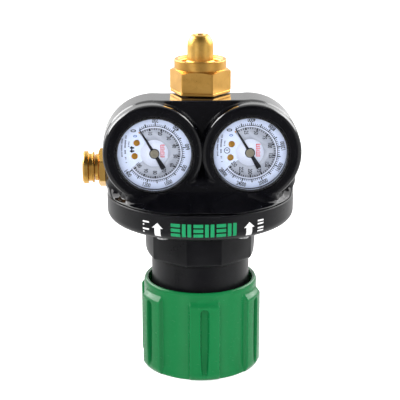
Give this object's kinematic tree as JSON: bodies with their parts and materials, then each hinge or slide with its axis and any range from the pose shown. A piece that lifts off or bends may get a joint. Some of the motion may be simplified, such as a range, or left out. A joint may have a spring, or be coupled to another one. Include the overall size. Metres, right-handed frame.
{
  "type": "gas regulator",
  "caption": "Cylinder gas regulator with twin recessed gauges, brass inlet nut, relief valve and hose outlet, and a ribbed adjusting knob on its spring case.",
  "frame": {"origin": "centre of the knob's flat end face", "axes": "+Z along the main axis from the knob to the cylinder inlet, -Y the way the dials face, +X to the right seen from the front"},
  "size_m": [0.116, 0.1226, 0.1853],
  "materials": {
    "brass": "machined, lightly tarnished",
    "bronze": "dull bronze",
    "gloss_black": "high gloss black",
    "satin_black": "satin black",
    "steel": "bright zinc",
    "spring_steel": "drawn wire",
    "rubber": "matt, fabric reinforced",
    "knob_green": "glossy moulded",
    "gauge_black": "satin black",
    "dial_white": "matt white, printed scale",
    "lens": "clear"
  },
  "bodies": {
    "regulator": {"body_housing": "gloss_black", "valve_core": "brass", "seat_nozzle": "brass", "poppet_spring": "spring_steel", "diaphragm": "rubber", "slip_ring": "steel", "bonnet": "satin_black", "bonnet_ring": "satin_black", "bonnet_screw_1": "steel", "bonnet_screw_2": "steel", "bonnet_screw_3": "steel", "bonnet_screw_4": "steel", "bonnet_screw_5": "steel", "bonnet_screw_6": "steel", "screw_bush": "brass", "adjusting_spring": "spring_steel", "inlet_nipple": "brass", "inlet_filter": "bronze", "relief_body": "brass", "relief_cap": "brass", "relief_spring": "spring_steel", "outlet_fitting": "brass", "low_gauge_case": "gauge_black", "low_gauge_lens": "lens", "low_gauge_dial": "dial_white", "low_gauge_socket": "brass", "low_bourdon_tube": "bronze", "high_gauge_case": "gauge_black", "high_gauge_lens": "lens", "high_gauge_dial": "dial_white", "high_gauge_socket": "brass", "high_bourdon_tube": "bronze"},
    "inlet_nut": {"inlet_nut": "brass"},
    "spring_button": {"spring_button": "steel", "thrust_ball": "steel"},
    "knob": {"knob": "knob_green", "knob_cap": "knob_green", "knob_screw": "steel", "adjusting_screw": "steel"},
    "valve": {"valve_poppet": "steel", "diaphragm_plate": "steel"},
    "relief_disc": {"relief_disc": "steel"},
    "low_pointer": {"low_pointer": "gauge_black", "low_gauge_arbor": "brass"},
    "high_pointer": {"high_pointer": "gauge_black", "high_gauge_arbor": "brass"},
    "low_sector": {"low_sector_gear": "brass"},
    "high_sector": {"high_sector_gear": "brass"}
  },
  "joints": [
    {"name": "inlet_nut_spin", "type": "hinge", "parent": "regulator", "child": "inlet_nut", "pos_m": [0, 0, 0.16], "axis": [0, 0, 1], "continuous": true},
    {"name": "screw_advance", "type": "slide", "parent": "regulator", "child": "spring_button", "axis": [0, 0, 1], "range_m": [0, 0.0075], "deforming": ["adjusting_spring"]},
    {"name": "knob_turn", "type": "hinge", "parent": "spring_button", "child": "knob", "pos_m": [0, 0, 0.02], "axis": [0, 0, 1], "range_deg": [0, 1800.5]},
    {"name": "valve_lift", "type": "slide", "parent": "regulator", "child": "valve", "axis": [0, 0, 1], "range_m": [0, 0.001], "stiffness_N_per_m": 2500, "deforming": ["poppet_spring", "diaphragm"]},
    {"name": "relief_lift", "type": "slide", "parent": "regulator", "child": "relief_disc", "axis": [-1, 0, 0], "range_m": [0, 0.0015], "stiffness_N_per_m": 1500, "deforming": ["relief_spring"]},
    {"name": "low_pointer_turn", "type": "hinge", "parent": "regulator", "child": "low_pointer", "pos_m": [-0.025, -0.027, 0.1273], "axis": [0, 1, 0], "range_deg": [0, 270]},
    {"name": "low_sector_turn", "type": "hinge", "parent": "regulator", "child": "low_sector", "pos_m": [-0.025, -0.022, 0.1161], "axis": [0, 1, 0], "range_deg": [-46, 1]},
    {"name": "high_pointer_turn", "type": "hinge", "parent": "regulator", "child": "high_pointer", "pos_m": [0.025, -0.027, 0.1273], "axis": [0, 1, 0], "range_deg": [0, 270]},
    {"name": "high_sector_turn", "type": "hinge", "parent": "regulator", "child": "high_sector", "pos_m": [0.025, -0.022, 0.1161], "axis": [0, 1, 0], "range_deg": [-46, 1]}
  ],
  "couplings": [
    {"joint": "knob_turn", "follows": "screw_advance", "rad_per_m": 4188.8},
    {"joint": "low_sector_turn", "follows": "low_pointer_turn", "ratio": -0.16667},
    {"joint": "high_sector_turn", "follows": "high_pointer_turn", "ratio": -0.16667}
  ]
}
